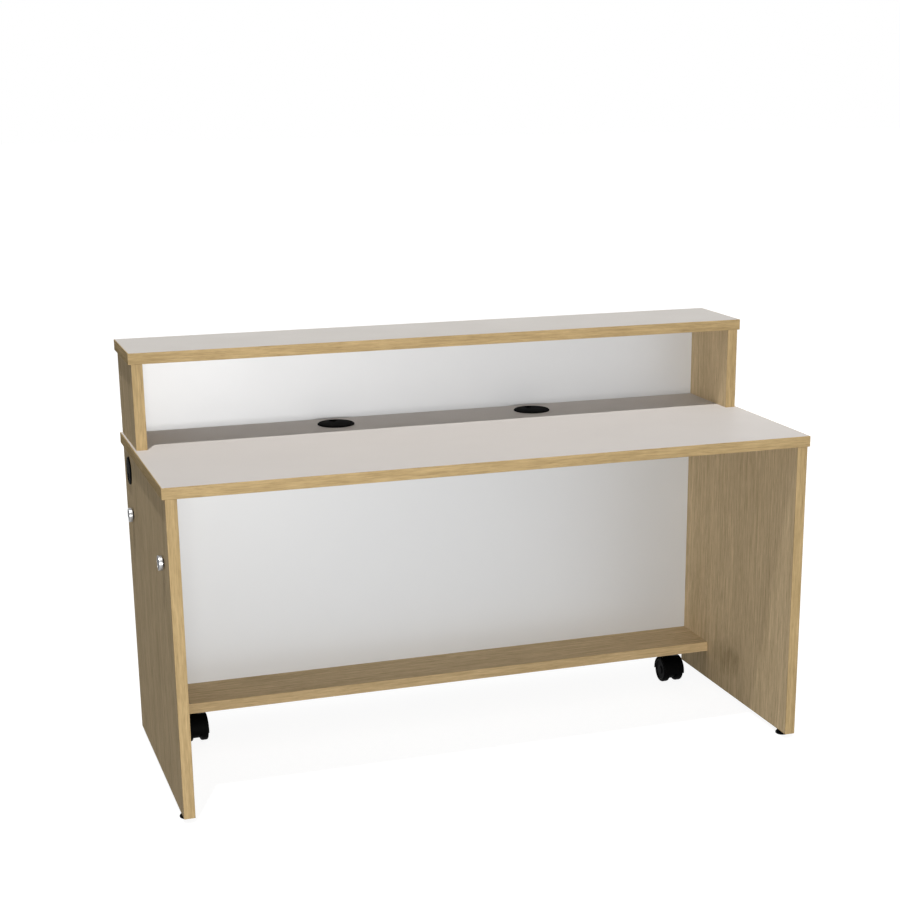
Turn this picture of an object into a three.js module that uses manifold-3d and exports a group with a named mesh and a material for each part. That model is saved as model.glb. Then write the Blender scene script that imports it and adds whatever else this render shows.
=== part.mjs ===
// Mobile reception desk: a laminate worktop on two end panels, a raised transaction top behind it,
// white back panels, and a low shelf that rides on twin-wheel casters, with screw glides at the front.
// Millimetres. +X runs along the desk, +Y from the seated side to the visitor's side, +Z up from the floor.
import * as THREE from "three";
import { mergeVertices } from "three/addons/utils/BufferGeometryUtils.js";
import Module from "manifold-3d";

const wasm = await Module();
wasm.setup();

// Desk
const deskWidth = 1524;
const deskDepth = 609.6;
const worktopHeight = 762;
const riserHeight = 196.85;
const transactionDepth = 224;
const shelfDepth = 147;
const boardThickness = 25.4;
const backThickness = 12.7;
const bandThickness = 2;
const sideOverhang = 6.35;

// Clearances between pieces
const glueLine = 0.1;
const seatGap = 0.3;
const runningGap = 0.5;

// Dowels, two in each joint between boards
const dowelDiameter = 8;
const dowelCover = 9.4;
const dowelFit = 0.15;
const dowelEndGap = 1;
const endDowelInset = 120;
const shortDowelInset = 45;

// Cable grommets
const worktopGrommetHole = 80;
const worktopGrommetSpacing = 508;
const worktopGrommetSetback = 85.7;
const sideGrommetHole = 56;
const sideGrommetSetback = 82.55;
const sideGrommetDrop = 76.5;
const grommetLip = 5;
const grommetRise = 3.6;
const grommetDepth = 20;
const grommetWall = 2;
const grommetLedge = 2;
const capThickness = 2.4;
const cordSlotWidth = 16;
const cordSlotReach = 20;

// Cord knobs
const knobDiameter = 34;
const knobProjection = 12;
const knobNeckDiameter = 16;
const knobNeckLength = 2.8;
const knobTaper = 2;
const knobRound = 1.5;
const knobSetback = 69.85;
const knobSpacing = 438.15;
const knobDrop = 179.4;

// Casters
const wheelDiameter = 64;
const wheelWidth = 18.5;
const wheelGap = 19;
const wheelRim = 5;
const wheelDisc = 6;
const wheelDish = 2;
const treadRound = 5;
const hubWall = 4.5;
const axleDiameter = 8;
const axleFit = 0.15;
const axleEndGap = 1;
const hoodWall = 2.5;
const hoodClearance = 1.5;
const hoodSkirt = 4;
const hoodRound = 3;
const webMargin = 7;
const casterTrail = 27;
const collarDiameter = 30;
const collarRise = 16;
const kingPinDiameter = 8;
const kingPinReach = 44;
const plateThickness = 2.5;
const plateLength = 60;
const plateWidth = 46;
const plateCorner = 6;
const plateHoleDiameter = 5.5;
const plateHoleInset = 7;
const casterInset = 88.9;

// Levelling glides
const glideFootDiameter = 32;
const glideFootHeight = 8;
const glideReveal = 4;
const glideRound = 2;
const glideStemDiameter = 8;
const glideStemLength = 34;
const glideSetback = 41.3;
const insertDiameter = 14;
const insertLength = 24;

// Facets round a full turn
const largeSides = 28;
const mediumSides = 20;
const smallSides = 8;

// Finishes
const laminate = { color: 0xcfcac5, roughness: 0.5, metalness: 0 };
const oak = { color: 0xc4a877, roughness: 0.55, metalness: 0 };
const white = { color: 0xf2f2f2, roughness: 0.25, metalness: 0 };
const beech = { color: 0xd9b98c, roughness: 0.7, metalness: 0 };
const blackPlastic = { color: 0x0c0c0c, roughness: 0.45, metalness: 0 };
const blackSteel = { color: 0x151515, roughness: 0.4, metalness: 0.7 };
const zincSteel = { color: 0xb4b6ba, roughness: 0.3, metalness: 1 };
const chrome = { color: 0xe8eaec, roughness: 0.08, metalness: 1 };

// Levels and planes that the boards share
const front = -deskDepth / 2;
const rear = deskDepth / 2;
const worktopUnderside = worktopHeight - boardThickness;
const transactionUnderside = worktopHeight + riserHeight;
const riserFront = rear - transactionDepth;
const endOuter = deskWidth / 2 - sideOverhang;
const endInner = endOuter - boardThickness;
const endCentre = (endOuter + endInner) / 2;
const backFace = rear - backThickness;
const wheelRadius = wheelDiameter / 2;
const hoodRadius = wheelRadius + hoodClearance + hoodWall;
const collarTop = wheelRadius + hoodRadius + collarRise;
const plateUnderside = collarTop + runningGap;
const plateTop = plateUnderside + plateThickness;
const shelfUnderside = plateTop + glueLine;
const shelfFront = backFace - shelfDepth;
const endFoot = glideFootHeight + glideReveal;

const sides = [
  { name: "left", sign: -1 },
  { name: "right", sign: 1 },
];

// The span from low to high on the right of the desk, or its mirror image on the left.
function across(side, low, high) {
  return side.sign > 0 ? [low, high] : [-high, -low];
}

// A closed geometry as a solid that can be cut and joined.
function solid(geometry) {
  const plain = geometry.clone();
  plain.deleteAttribute("normal");
  plain.deleteAttribute("uv");
  const merged = mergeVertices(plain);
  return new wasm.Manifold(
    new wasm.Mesh({
      numProp: 3,
      vertProperties: merged.attributes.position.array,
      triVerts: Uint32Array.from(merged.index.array),
    }),
  );
}

// What is left of a geometry once the cutters are taken out of it.
function cut(geometry, cutters) {
  return cutters.reduce((left, cutter) => left.subtract(solid(cutter)), solid(geometry));
}

// A named mesh of a geometry or a solid, with a material of its own.
function piece(name, shape, finish) {
  let geometry = shape;
  if (!shape.isBufferGeometry) {
    const { vertProperties, triVerts } = shape.getMesh();
    geometry = new THREE.BufferGeometry();
    geometry.setAttribute("position", new THREE.BufferAttribute(vertProperties, 3));
    geometry.setIndex(new THREE.BufferAttribute(triVerts, 1));
    geometry.computeVertexNormals();
  }
  const mesh = new THREE.Mesh(geometry, new THREE.MeshStandardMaterial(finish));
  mesh.name = name;
  return mesh;
}

function block([x0, x1], [y0, y1], [z0, z1]) {
  const box = new THREE.BoxGeometry(x1 - x0, y1 - y0, z1 - z0);
  return box.translate((x0 + x1) / 2, (y0 + y1) / 2, (z0 + z1) / 2);
}

// An upright rod on the Z axis.
function rod(diameter, [z0, z1], sideCount) {
  const cylinder = new THREE.CylinderGeometry(diameter / 2, diameter / 2, z1 - z0, sideCount);
  return cylinder.rotateX(Math.PI / 2).translate(0, 0, (z0 + z1) / 2);
}

// A level rod on the X axis.
function crossRod(diameter, span, sideCount) {
  return rod(diameter, span, sideCount).rotateY(Math.PI / 2);
}

// A profile of radius against height, turned round the Z axis.
function turned(profile, sideCount) {
  return new THREE.LatheGeometry(profile.getPoints(1), sideCount).rotateX(Math.PI / 2);
}

// A shape drawn in plan, raised from z0 to z1.
function raised(shape, [z0, z1]) {
  const settings = { depth: z1 - z0, bevelEnabled: false, curveSegments: largeSides / 2 };
  return new THREE.ExtrudeGeometry(shape, settings).translate(0, 0, z0);
}

// Turns a shape drawn in X and Y into one drawn in Y and Z that is extruded along X.
const sideView = new THREE.Matrix4().makeBasis(
  new THREE.Vector3(0, 1, 0),
  new THREE.Vector3(0, 0, 1),
  new THREE.Vector3(1, 0, 0),
);

function rectangle(x0, x1, y0, y1, Outline = THREE.Shape) {
  return new Outline().moveTo(x0, y0).lineTo(x1, y0).lineTo(x1, y1).lineTo(x0, y1).closePath();
}

// Dowels: each joint gives its pins' axis, the plane they cross and the run of boards they share.
function dowelJoints(side) {
  const upright = { along: "z", x: side.sign * endCentre };
  return {
    end: { ...upright, z: worktopUnderside, run: [front, rear], inset: endDowelInset },
    riserFoot: { ...upright, z: worktopHeight, run: [riserFront, rear], inset: shortDowelInset },
    riserHead: { ...upright, z: transactionUnderside, run: [riserFront, rear], inset: shortDowelInset },
    shelf: {
      along: "x",
      x: side.sign * endInner,
      z: shelfUnderside + boardThickness / 2,
      run: [shelfFront, backFace],
      inset: shortDowelInset,
    },
  };
}

function dowelPlaces({ run, inset }) {
  return [
    { name: "front", y: run[0] + inset },
    { name: "rear", y: run[1] - inset },
  ];
}

// One pin, or its hole when it is given a fit and end gaps.
function dowelRod(joint, y, fit, endGap) {
  const half = boardThickness - dowelCover + endGap;
  const shape = joint.along === "x" ? crossRod : rod;
  return shape(dowelDiameter + 2 * fit, [-half, half], smallSides).translate(joint.x, y, joint.z);
}

function dowelHoles(...joints) {
  return joints.flatMap((joint) =>
    dowelPlaces(joint).map(({ y }) => dowelRod(joint, y, dowelFit, dowelEndGap)),
  );
}

function dowels(side) {
  const words = { end: "end", riserFoot: "riser_foot", riserHead: "riser_head", shelf: "shelf" };
  return Object.entries(dowelJoints(side)).flatMap(([key, joint]) =>
    dowelPlaces(joint).map((place) => {
      const name = `${side.name}_${words[key]}_dowel_${place.name}`;
      return piece(name, dowelRod(joint, place.y, 0, 0), beech);
    }),
  );
}

// Places of the fittings
const grommetPlaces = sides.map((side) => ({
  name: side.name,
  x: (side.sign * worktopGrommetSpacing) / 2,
  y: rear - worktopGrommetSetback,
}));
const sideGrommetPlace = { y: rear - sideGrommetSetback, z: worktopHeight - sideGrommetDrop };

// Tops: a board with a band mitred round its four edges.
function bandedTop(name, [y0, y1], underside, cutters) {
  const x = deskWidth / 2;
  const height = [underside, underside + boardThickness];
  const inset = bandThickness + glueLine;
  const board = block([inset - x, x - inset], [y0 + inset, y1 - inset], height);
  const ring = rectangle(-x, x, y0, y1);
  const inner = bandThickness;
  ring.holes.push(rectangle(inner - x, x - inner, y0 + inner, y1 - inner, THREE.Path));
  return [
    piece(name, cut(board, cutters), laminate),
    piece(`${name}_edge_band`, raised(ring, height), oak),
  ];
}

function worktop() {
  const grommetHoles = grommetPlaces.map(({ x, y }) =>
    rod(worktopGrommetHole, [0, transactionUnderside], largeSides).translate(x, y, 0),
  );
  const pinHoles = sides.flatMap((side) => {
    const { end, riserFoot } = dowelJoints(side);
    return dowelHoles(end, riserFoot);
  });
  return bandedTop("worktop", [front, rear], worktopUnderside, [...grommetHoles, ...pinHoles]);
}

function transactionTop() {
  const pinHoles = sides.flatMap((side) => dowelHoles(dowelJoints(side).riserHead));
  return bandedTop("transaction_top", [riserFront, rear], transactionUnderside, pinHoles);
}

// End panels: banded down the front, under the foot and up the rear.
function endPanel(side) {
  const name = `${side.name}_end_panel`;
  const [x0, x1] = across(side, endInner, endOuter);
  const top = worktopUnderside - glueLine;
  const inset = bandThickness + glueLine;
  const board = block([x0, x1], [front + inset, rear - inset], [endFoot + inset, top]);
  const { end, shelf } = dowelJoints(side);
  const glideHole = rod(
    insertDiameter + 2 * seatGap,
    [0, endFoot + glideStemLength + runningGap],
    mediumSides,
  ).translate(side.sign * endCentre, front + glideSetback, 0);
  const cutters = [...dowelHoles(end, shelf), glideHole];
  if (side.name === "left") {
    const grommetHole = crossRod(sideGrommetHole, [-deskWidth, 0], largeSides);
    cutters.push(grommetHole.translate(0, sideGrommetPlace.y, sideGrommetPlace.z));
  }
  const wrap = new THREE.Shape()
    .moveTo(front, top)
    .lineTo(front, endFoot)
    .lineTo(rear, endFoot)
    .lineTo(rear, top)
    .lineTo(rear - bandThickness, top)
    .lineTo(rear - bandThickness, endFoot + bandThickness)
    .lineTo(front + bandThickness, endFoot + bandThickness)
    .lineTo(front + bandThickness, top)
    .closePath();
  const band = raised(wrap, [x0, x1]).applyMatrix4(sideView);
  return [
    piece(name, cut(board, cutters), oak),
    piece(`${name}_edge_band`, cut(band, [glideHole]), oak),
  ];
}

// Riser sides: banded on the two upright edges that show.
function riserSide(side) {
  const name = `${side.name}_riser_side`;
  const x = across(side, endInner, endOuter);
  const z = [worktopHeight + glueLine, transactionUnderside - glueLine];
  const inset = bandThickness + glueLine;
  const board = block(x, [riserFront + inset, rear - inset], z);
  const { riserFoot, riserHead } = dowelJoints(side);
  return [
    piece(name, cut(board, dowelHoles(riserFoot, riserHead)), oak),
    piece(`${name}_front_band`, block(x, [riserFront, riserFront + bandThickness], z), oak),
    piece(`${name}_rear_band`, block(x, [rear - bandThickness, rear], z), oak),
  ];
}

// White panels that close the back below and above the worktop.
function backPanel(name, underside, top) {
  const x = endInner - glueLine;
  return piece(name, block([-x, x], [backFace, rear], [underside, top - glueLine]), white);
}

function bottomShelf() {
  const x = endInner - glueLine;
  const z = [shelfUnderside, shelfUnderside + boardThickness];
  const inset = bandThickness + glueLine;
  const board = block([-x, x], [shelfFront + inset, backFace - glueLine], z);
  const pinHoles = sides.flatMap((side) => dowelHoles(dowelJoints(side).shelf));
  return [
    piece("bottom_shelf", cut(board, pinHoles), oak),
    piece("bottom_shelf_edge_band", block([-x, x], [shelfFront, shelfFront + bandThickness], z), oak),
  ];
}

// Cable grommet: a lipped liner and a cap that turns on a ledge inside it, seated at z = 0.
// The cord slot runs from the middle of the cap to its rim, turned from +X by slotTurn.
function grommet(name, holeDiameter, slotTurn) {
  const tube = holeDiameter / 2 - seatGap;
  const bore = tube - grommetWall;
  const lip = holeDiameter / 2 + grommetLip;
  const round = grommetRise - capThickness;
  const ledgeTop = grommetRise - capThickness - seatGap;
  const liner = new THREE.Path()
    .moveTo(bore, -grommetDepth)
    .lineTo(tube, -grommetDepth)
    .lineTo(tube, seatGap)
    .lineTo(lip, seatGap)
    .lineTo(lip, grommetRise - round)
    .absarc(lip - round, grommetRise - round, round, 0, Math.PI / 2)
    .lineTo(bore, grommetRise)
    .lineTo(bore, ledgeTop)
    .lineTo(bore - grommetLedge, ledgeTop)
    .lineTo(bore, ledgeTop - grommetLedge)
    .lineTo(bore, -grommetDepth);
  const cap = bore - runningGap;
  const slot = cordSlotWidth / 2;
  const slotAngle = Math.asin(slot / cap);
  const slotEnd = cap - cordSlotReach + slot;
  const capOutline = new THREE.Shape()
    .absarc(0, 0, cap, slotAngle, 2 * Math.PI - slotAngle)
    .lineTo(slotEnd, -slot)
    .absarc(slotEnd, 0, slot, -Math.PI / 2, Math.PI / 2, true)
    .closePath();
  const capSpan = [grommetRise - capThickness, grommetRise];
  const group = new THREE.Group();
  group.add(piece(`${name}_liner`, turned(liner, largeSides), blackPlastic));
  group.add(piece(`${name}_cap`, raised(capOutline, capSpan).rotateZ(slotTurn), blackPlastic));
  return group;
}

// Cord knob: a head that tapers outwards, on a short neck, standing at z = 0.
function cordKnob(name) {
  const head = knobDiameter / 2;
  const neck = knobNeckDiameter / 2;
  const end = head - knobTaper;
  const profile = new THREE.Path()
    .moveTo(0, seatGap)
    .lineTo(neck, seatGap)
    .lineTo(neck, knobNeckLength)
    .lineTo(head - knobRound, knobNeckLength)
    .lineTo(head, knobNeckLength + knobRound)
    .lineTo(end, knobProjection - knobRound)
    .lineTo(end - knobRound, knobProjection)
    .lineTo(0, knobProjection);
  return piece(name, turned(profile, mediumSides), chrome);
}

// Caster mounting plate with the king pin riveted into it.
function casterPlate(name) {
  const x = plateLength / 2;
  const y = plateWidth / 2;
  const corner = plateCorner;
  const outline = new THREE.Shape()
    .absarc(x - corner, y - corner, corner, 0, Math.PI / 2)
    .absarc(corner - x, y - corner, corner, Math.PI / 2, Math.PI)
    .absarc(corner - x, corner - y, corner, Math.PI, 1.5 * Math.PI)
    .absarc(x - corner, corner - y, corner, 1.5 * Math.PI, 2 * Math.PI);
  const settings = { depth: plateThickness, bevelEnabled: false, curveSegments: smallSides / 2 };
  const plate = new THREE.ExtrudeGeometry(outline, settings).translate(0, 0, plateUnderside);
  const holes = [-1, 1].flatMap((sx) =>
    [-1, 1].map((sy) =>
      rod(plateHoleDiameter, [0, shelfUnderside], smallSides).translate(
        sx * (x - plateHoleInset),
        sy * (y - plateHoleInset),
        0,
      ),
    ),
  );
  const pin = rod(kingPinDiameter, [collarTop - kingPinReach, plateTop], mediumSides);
  return piece(name, cut(plate, holes).add(solid(pin)), blackSteel);
}

// Caster hood: a moulded arch over both wheels, with a web between them that holds the axle and a collar
// round the king pin. The axle trails the king pin towards the seated side.
function casterHood(name) {
  const webHalf = wheelGap / 2 - runningGap;
  const hoodHalf = wheelGap / 2 + wheelWidth + runningGap;
  const onAxle = (geometry) => geometry.translate(0, -casterTrail, wheelRadius);
  const arch = new THREE.Shape()
    .absarc(0, 0, hoodRadius, 0, Math.PI)
    .lineTo(-hoodRadius, -hoodSkirt)
    .lineTo(hoodRadius, -hoodSkirt)
    .closePath();
  const archSettings = {
    depth: 2 * (hoodHalf - hoodRound),
    bevelThickness: hoodRound,
    bevelSize: hoodRound,
    bevelOffset: -hoodRound,
    bevelSegments: 2,
    curveSegments: largeSides / 2,
  };
  const archSolid = new THREE.ExtrudeGeometry(arch, archSettings);
  archSolid.translate(0, 0, hoodRound - hoodHalf).applyMatrix4(sideView);
  const web = crossRod(wheelDiameter - 2 * webMargin, [-webHalf, webHalf], largeSides);
  const collar = rod(collarDiameter, [wheelRadius + hoodSkirt, collarTop], mediumSides);
  const pockets = [-1, 1].map((sign) => {
    const span = [webHalf, hoodHalf + hoodRound];
    const pocket = rod(wheelDiameter + 2 * hoodClearance, span, largeSides);
    return onAxle(pocket.rotateY((sign * Math.PI) / 2));
  });
  const axleBore = onAxle(crossRod(axleDiameter + 2 * axleFit, [-hoodHalf, hoodHalf], mediumSides));
  const pinBore = rod(
    kingPinDiameter + 2 * axleFit,
    [collarTop - kingPinReach - runningGap, plateTop],
    mediumSides,
  );
  const moulding = solid(onAxle(archSolid)).add(solid(onAxle(web))).add(solid(collar));
  const cutters = [...pockets, axleBore, pinBore];
  const hood = cutters.reduce((left, cutter) => left.subtract(solid(cutter)), moulding);
  return piece(name, hood, blackPlastic);
}

// Caster wheel: a cup with a crowned tread, a dished face and a blind hub, its inner face at z = 0.
function wheelGeometry() {
  const bore = axleDiameter / 2 + axleFit;
  const boreEnd = wheelWidth - wheelDisc;
  const hub = axleDiameter / 2 + hubWall;
  const rimInner = wheelRadius - wheelRim;
  const crown = wheelRadius - treadRound;
  const faceEdge = rimInner - wheelDish;
  const face = wheelWidth - wheelDish;
  const profile = new THREE.Path()
    .moveTo(0, boreEnd)
    .lineTo(bore, boreEnd)
    .lineTo(bore, runningGap)
    .lineTo(hub, runningGap)
    .lineTo(hub, wheelWidth - wheelDisc)
    .lineTo(rimInner, wheelWidth - wheelDisc)
    .lineTo(rimInner, treadRound / 2)
    .lineTo(crown, 0)
    .absarc(crown, treadRound, treadRound, -Math.PI / 2, 0)
    .absarc(crown, wheelWidth - treadRound, treadRound, 0, Math.PI / 2)
    .lineTo(faceEdge, face)
    .lineTo(hub + wheelDish, face)
    .lineTo(hub, wheelWidth)
    .lineTo(0, wheelWidth);
  return turned(profile, largeSides);
}

function caster(side) {
  const name = `${side.name}_caster`;
  const group = new THREE.Group();
  group.add(casterPlate(`${name}_plate`));
  group.add(casterHood(`${name}_hood`));
  const axleHalf = wheelGap / 2 + wheelWidth - wheelDisc - axleEndGap;
  const axle = crossRod(axleDiameter, [-axleHalf, axleHalf], mediumSides);
  group.add(piece(`${name}_axle`, axle.translate(0, -casterTrail, wheelRadius), zincSteel));
  for (const wheelSide of sides) {
    const wheel = piece(`${name}_${wheelSide.name}_wheel`, wheelGeometry(), blackPlastic);
    wheel.rotation.y = (wheelSide.sign * Math.PI) / 2;
    wheel.position.set((wheelSide.sign * wheelGap) / 2, -casterTrail, wheelRadius);
    group.add(wheel);
  }
  group.position.set(side.sign * (endInner - casterInset), (shelfFront + backFace) / 2, 0);
  return group;
}

// Levelling glide: a foot on a stem that screws into an insert in the end panel.
function glide(side) {
  const foot = glideFootDiameter / 2;
  const stem = glideStemDiameter / 2;
  const stemTop = glideFootHeight + glideStemLength;
  const footProfile = new THREE.Path()
    .moveTo(0, 0)
    .lineTo(foot - glideRound, 0)
    .absarc(foot - glideRound, glideRound, glideRound, -Math.PI / 2, 0)
    .lineTo(foot, glideFootHeight - glideRound)
    .lineTo(foot - glideRound, glideFootHeight)
    .lineTo(stem, glideFootHeight)
    .lineTo(stem, stemTop)
    .lineTo(0, stemTop);
  const bore = stem + axleFit;
  const sleeve = insertDiameter / 2;
  const insertProfile = new THREE.Path()
    .moveTo(bore, endFoot)
    .lineTo(sleeve, endFoot)
    .lineTo(sleeve, endFoot + insertLength)
    .lineTo(bore, endFoot + insertLength)
    .lineTo(bore, endFoot);
  const group = new THREE.Group();
  group.add(piece(`${side.name}_glide`, turned(footProfile, mediumSides), blackPlastic));
  group.add(piece(`${side.name}_glide_insert`, turned(insertProfile, mediumSides), zincSteel));
  group.position.set(side.sign * endCentre, front + glideSetback, 0);
  return group;
}

const desk = new THREE.Group();
desk.add(...worktop(), ...transactionTop(), ...bottomShelf());
desk.add(backPanel("modesty_panel", shelfUnderside, worktopUnderside));
desk.add(backPanel("riser_back_panel", worktopHeight + glueLine, transactionUnderside));
for (const side of sides) {
  desk.add(...endPanel(side), ...riserSide(side), ...dowels(side), caster(side), glide(side));
}

for (const place of grommetPlaces) {
  const fitting = grommet(`${place.name}_grommet`, worktopGrommetHole, Math.PI / 2);
  fitting.position.set(place.x, place.y, worktopHeight);
  desk.add(fitting);
}

// The fittings on the left end panel face outwards, along -X.
const sideFittings = new THREE.Group();
const sideGrommet = grommet("side_grommet", sideGrommetHole, Math.PI);
sideGrommet.position.set(sideGrommetPlace.z, sideGrommetPlace.y, 0);
sideFittings.add(sideGrommet);
for (const [name, y] of [
  ["front_cord_knob", front + knobSetback],
  ["rear_cord_knob", front + knobSetback + knobSpacing],
]) {
  const knob = cordKnob(name);
  knob.position.set(worktopHeight - knobDrop, y, 0);
  sideFittings.add(knob);
}
sideFittings.rotation.y = -Math.PI / 2;
sideFittings.position.x = -endOuter;
desk.add(sideFittings);

export default desk;
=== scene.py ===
"""Looks of a mobile reception desk: finishes for its boards, rounded bands and fittings over its frame."""

import logging
import math
from dataclasses import dataclass
from enum import Enum
from typing import Sequence

import bmesh
import bpy
import numpy as np
from mathutils import Matrix, Vector


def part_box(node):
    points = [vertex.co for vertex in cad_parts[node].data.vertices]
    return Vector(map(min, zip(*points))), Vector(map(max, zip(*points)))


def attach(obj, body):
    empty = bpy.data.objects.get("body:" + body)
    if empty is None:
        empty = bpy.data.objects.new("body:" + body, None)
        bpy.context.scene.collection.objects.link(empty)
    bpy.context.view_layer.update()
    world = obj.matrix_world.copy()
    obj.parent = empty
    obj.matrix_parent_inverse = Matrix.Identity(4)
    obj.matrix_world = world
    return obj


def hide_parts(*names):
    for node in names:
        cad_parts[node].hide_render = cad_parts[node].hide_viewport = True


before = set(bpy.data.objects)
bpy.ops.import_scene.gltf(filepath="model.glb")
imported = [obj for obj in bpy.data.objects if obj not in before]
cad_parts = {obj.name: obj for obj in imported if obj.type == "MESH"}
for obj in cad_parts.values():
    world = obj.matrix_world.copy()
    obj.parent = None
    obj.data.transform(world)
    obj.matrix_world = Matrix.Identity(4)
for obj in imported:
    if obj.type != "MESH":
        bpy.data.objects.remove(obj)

Triple = tuple[float, float, float]
Socket = bpy.types.NodeSocket

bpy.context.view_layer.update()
LOG = logging.getLogger("reception_desk")
MM = 0.001
SIDES = ("left", "right")
UPWARDS = np.array((0.0, 0.0, 1.0))
SIDEWAYS = np.array((1.0, 0.0, 0.0))
SHARP_ANGLE = math.radians(32)
SEAM_GAP = 1e-6
SLIVER = 1e-7
ROUND_SIDES = 96
BAND_UV = "along_band"
NOISE_LOW, NOISE_MIDDLE, NOISE_HIGH = 0.3, 0.5, 0.7
NOISE_ROUGHNESS = 0.55
BUMP_STRENGTH = 0.6
PURE_WHITE = (1.0, 1.0, 1.0, 1.0)


class Grain(Enum):
    """The direction that the wood grain of a board runs in, as the turn that lays it along Z."""

    UPRIGHT = (0.0, 0.0, 0.0)
    LENGTHWISE = (0.0, math.radians(-90), 0.0)


class Axis(Enum):
    """The axis that a turned piece is turned round, as the rows of a frame for (across, across, along)."""

    UP = ((1, 0, 0), (0, 1, 0), (0, 0, 1))
    DOWN = ((1, 0, 0), (0, -1, 0), (0, 0, -1))
    LEFT = ((0, 1, 0), (0, 0, -1), (-1, 0, 0))
    RIGHT = ((0, 1, 0), (0, 0, 1), (1, 0, 0))


def rounded_outline(corners: Sequence[Triple], closed: bool, steps: int = 6) -> np.ndarray:
    """Rounds the corners of a polygon: each corner becomes an arc that is tangent to its two sides.

    Args:
        corners: (x, y, radius) of each corner, in order; a radius of 0 keeps it sharp.
        closed: whether the last corner joins the first.
        steps: arc steps at each rounded corner.

    Returns:
        The points of the outline, one per row.
    """
    points = np.array([corner[:2] for corner in corners], float)
    count = len(points)
    pieces = []
    for index, (_, _, radius) in enumerate(corners):
        here = points[index]
        if radius <= 0 or (not closed and index in (0, count - 1)):
            pieces.append(here[None])
            continue
        back = points[index - 1] - here
        ahead = points[(index + 1) % count] - here
        back /= np.linalg.norm(back)
        ahead /= np.linalg.norm(ahead)
        half = math.acos(np.clip(back @ ahead, -1, 1)) / 2
        middle = (back + ahead) / np.linalg.norm(back + ahead)
        centre = here + middle * radius / math.sin(half)
        sweep = np.linspace(math.pi / 2 - half, half - math.pi / 2, steps + 1)[:, None]
        side = (back - middle * math.cos(half)) / math.sin(half)
        pieces.append(centre + radius * (np.sin(sweep) * side - np.cos(sweep) * middle))
    return np.concatenate(pieces)


def grid_faces(rows: int, columns: int, wrap_rows: bool, wrap_columns: bool) -> np.ndarray:
    """Quads of a grid of points, row after row.

    Args:
        rows: number of rows.
        columns: points in each row.
        wrap_rows: whether the last row joins the first.
        wrap_columns: whether each row closes on itself.

    Returns:
        Four vertex numbers for each quad.
    """
    r = np.arange(rows if wrap_rows else rows - 1)
    c = np.arange(columns if wrap_columns else columns - 1)
    row, column = (index.ravel() for index in np.meshgrid(r, c, indexing="ij"))
    next_row = (row + 1) % rows
    next_column = (column + 1) % columns
    corners = (row, column), (next_row, column), (next_row, next_column), (row, next_column)
    return np.stack([a * columns + b for a, b in corners], axis=1)


def tube_faces(rows: int, columns: int, ends: bool) -> list[list[int]]:
    """Faces of a tube whose rows are closed rings.

    Args:
        rows: number of rings.
        columns: points in each ring.
        ends: whether a face closes the first and the last ring.

    Returns:
        The vertex numbers of each face.
    """
    faces = grid_faces(rows, columns, False, True).tolist()
    if ends:
        faces += [list(range(columns)), list(range((rows - 1) * columns, rows * columns))]
    return faces


def tidy_mesh(mesh: bpy.types.Mesh) -> None:
    """Merges doubled vertices at seams and poles and turns every face outwards.

    Args:
        mesh: the mesh to tidy.
    """
    work = bmesh.new()
    work.from_mesh(mesh)
    bmesh.ops.remove_doubles(work, verts=work.verts, dist=SEAM_GAP)
    bmesh.ops.dissolve_degenerate(work, edges=work.edges, dist=SLIVER)
    bmesh.ops.recalc_face_normals(work, faces=work.faces)
    work.to_mesh(mesh)
    work.free()


def mesh_piece(name: str, points: np.ndarray, faces: list[list[int]], material: bpy.types.Material,
               uv: np.ndarray | None = None) -> bpy.types.Object:
    """Makes an object at the origin from points and faces, with merged doubles and outward faces.

    Args:
        name: name of the piece.
        points: place of each vertex, in metres.
        faces: vertex numbers of each face.
        material: finish of the piece.
        uv: a (u, v) pair for each vertex, in metres along and across the piece.

    Returns:
        The new object.
    """
    mesh = bpy.data.meshes.new(name)
    mesh.from_pydata(points.tolist(), [], faces)
    if uv is not None:
        layer = mesh.uv_layers.new(name=BAND_UV)
        loops = np.empty(len(mesh.loops), dtype=np.int32)
        mesh.loops.foreach_get("vertex_index", loops)
        layer.data.foreach_set("uv", uv[loops].astype(np.float32).ravel())
    tidy_mesh(mesh)
    mesh.polygons.foreach_set("use_smooth", np.ones(len(mesh.polygons), dtype=bool))
    mesh.set_sharp_from_angle(angle=SHARP_ANGLE)
    mesh.materials.append(material)
    made = bpy.data.objects.new(name, mesh)
    bpy.context.scene.collection.objects.link(made)
    return made


def turned_points(profile: np.ndarray, centre: Vector, axis: Axis, sides: int) -> np.ndarray:
    """Turns a profile of (radius, height) round an axis: radius times the circle, plus height along the axis.

    Args:
        profile: (radius, height) of each point, in metres.
        centre: the point of the axis at height 0.
        axis: direction of the axis.
        sides: points round the circle.

    Returns:
        Points of a grid with a row for each profile point.
    """
    angle = np.linspace(0, 2 * math.pi, sides, endpoint=False)
    radius, height = profile[:, :1], profile[:, 1:]
    local = np.stack([radius * np.cos(angle), radius * np.sin(angle), height + 0 * angle], axis=-1)
    return local.reshape(-1, 3) @ np.array(axis.value, float) + np.array(centre)


def turned_piece(name: str, profile: np.ndarray, centre: Vector, axis: Axis, material: bpy.types.Material,
                 closed: bool = False, sides: int = ROUND_SIDES) -> bpy.types.Object:
    """Makes a turned piece from its profile.

    Args:
        name: name of the piece.
        profile: (radius, height) of each point, in millimetres.
        centre: the point of the axis at height 0, in metres.
        axis: direction of the axis.
        material: finish of the piece.
        closed: whether the profile is a ring that closes on itself, or runs from axis to axis.
        sides: points round the circle.

    Returns:
        The new object.
    """
    points = turned_points(profile * MM, centre, axis, sides)
    faces = grid_faces(len(profile), sides, closed, True).tolist()
    return mesh_piece(name, points, faces, material)


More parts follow.
